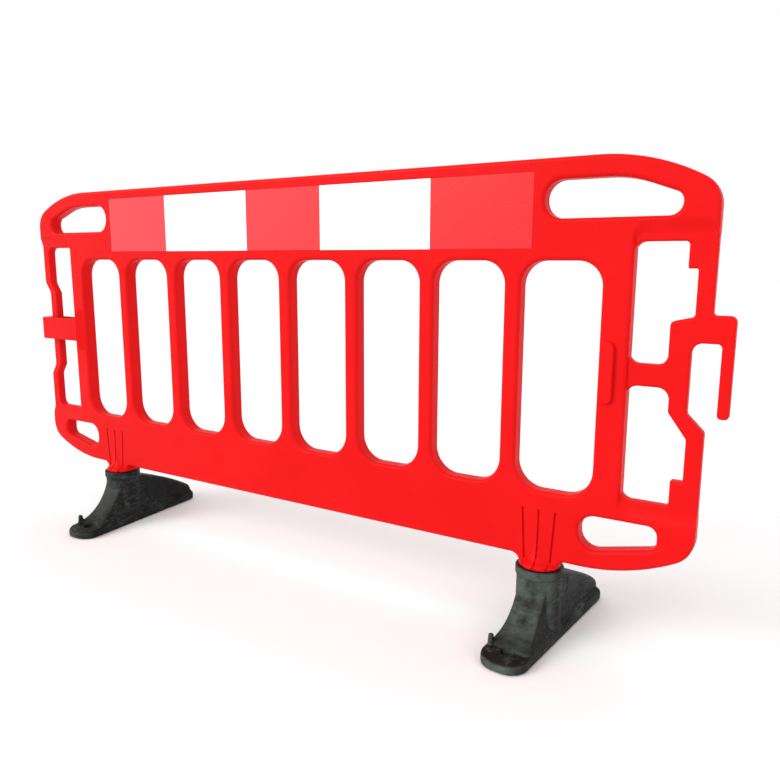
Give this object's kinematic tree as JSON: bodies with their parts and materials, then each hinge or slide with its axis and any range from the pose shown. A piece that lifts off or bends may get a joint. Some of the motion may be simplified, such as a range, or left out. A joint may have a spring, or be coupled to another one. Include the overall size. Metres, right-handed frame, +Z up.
{
  "type": "plastic pedestrian barrier",
  "caption": "Moulded plastic barrier panel with upright slots, reflective red and white sheeting, hand holes, a link hook and loop, and swivelling rubber feet.",
  "frame": {"origin": "centre of the bounding box at floor level; the panel's middle plane is at y = -0.042 m and its middle at x = -0.016 m, because the hook reaches further than the loop and the rear toes further than the front toes; at rest the left foot stands turned by 4.2 degrees and the right foot by -4.8 degrees", "axes": "+X along the panel towards the hook end, +Y through the panel to its rear, +Z up"},
  "size_m": [2.048, 0.4676, 1.016],
  "materials": {
    "red_plastic": "satin moulded polyethylene, fine grain",
    "red_sheeting": "retroreflective film, fine cell pattern",
    "white_sheeting": "retroreflective film, fine cell pattern",
    "black_rubber": "dull recycled rubber with flow marks",
    "zinc_steel": "zinc plated",
    "brass": "turned"
  },
  "bodies": {
    "barrier": {"panel": "red_plastic", "link_loop": "red_plastic", "front_red_left": "red_sheeting", "front_red_middle": "red_sheeting", "front_red_right": "red_sheeting", "rear_red_left": "red_sheeting", "rear_red_middle": "red_sheeting", "rear_red_right": "red_sheeting", "front_white_left": "white_sheeting", "front_white_right": "white_sheeting", "rear_white_left": "white_sheeting", "rear_white_right": "white_sheeting", "left_swivel_bolt": "zinc_steel", "right_swivel_bolt": "zinc_steel", "left_washer": "zinc_steel", "right_washer": "zinc_steel", "left_insert": "brass", "right_insert": "brass"},
    "left_foot": {"left_foot": "black_rubber"},
    "right_foot": {"right_foot": "black_rubber"}
  },
  "joints": [
    {"name": "left_foot_swivel", "type": "hinge", "parent": "barrier", "child": "left_foot", "pos_m": [-0.706, -0.0416, 0.1], "axis": [0, 0, 1], "range_deg": [-94.2, 85.8]},
    {"name": "right_foot_swivel", "type": "hinge", "parent": "barrier", "child": "right_foot", "pos_m": [0.674, -0.0416, 0.1], "axis": [0, 0, 1], "range_deg": [-85.2, 94.8]}
  ]
}
